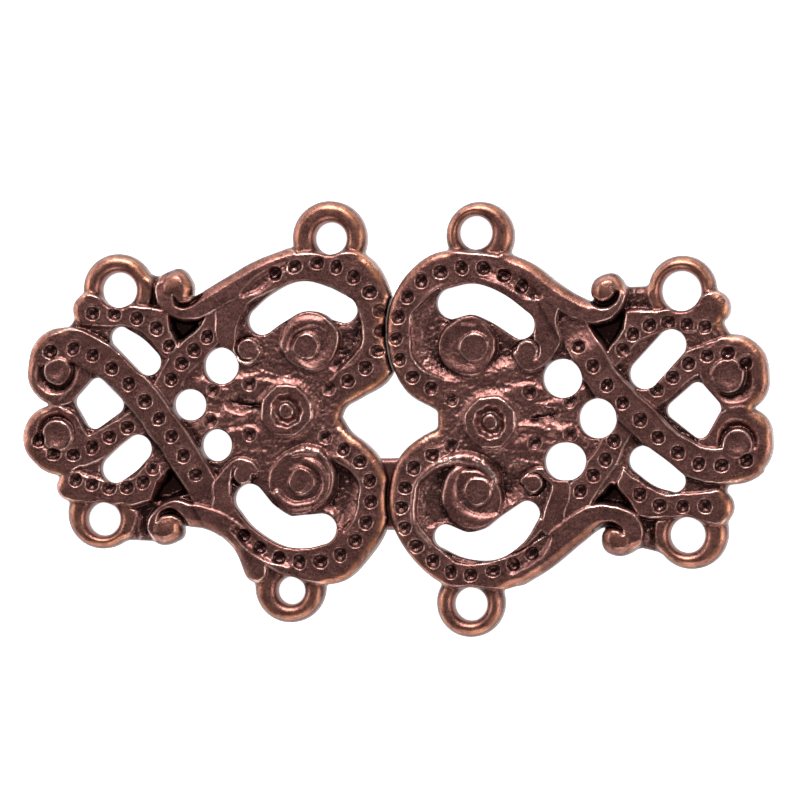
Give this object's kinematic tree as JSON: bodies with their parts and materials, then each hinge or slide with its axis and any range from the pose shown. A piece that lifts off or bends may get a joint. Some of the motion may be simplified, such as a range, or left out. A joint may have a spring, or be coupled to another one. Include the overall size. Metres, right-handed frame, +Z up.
{
  "type": "hook and eye clasp",
  "caption": "Cloak clasp of pierced antique copper castings with strapwork relief, sewing loops round the rims and a hook and an eye behind them.",
  "frame": {"origin": "middle of the outline's box, on the surface that the clasp lies on", "axes": "+X from the eye half to the hook half along the clasp's length, +Y to the top of the picture, +Z up out of the ornamented face"},
  "size_m": [0.0682, 0.0394, 0.0031],
  "materials": {
    "antique_copper": "antique copper plate, dark in the recesses and worn bright on the edges"
  },
  "bodies": {
    "root": {"hook_half": "antique_copper", "eye_half": "antique_copper"}
  },
  "joints": []
}
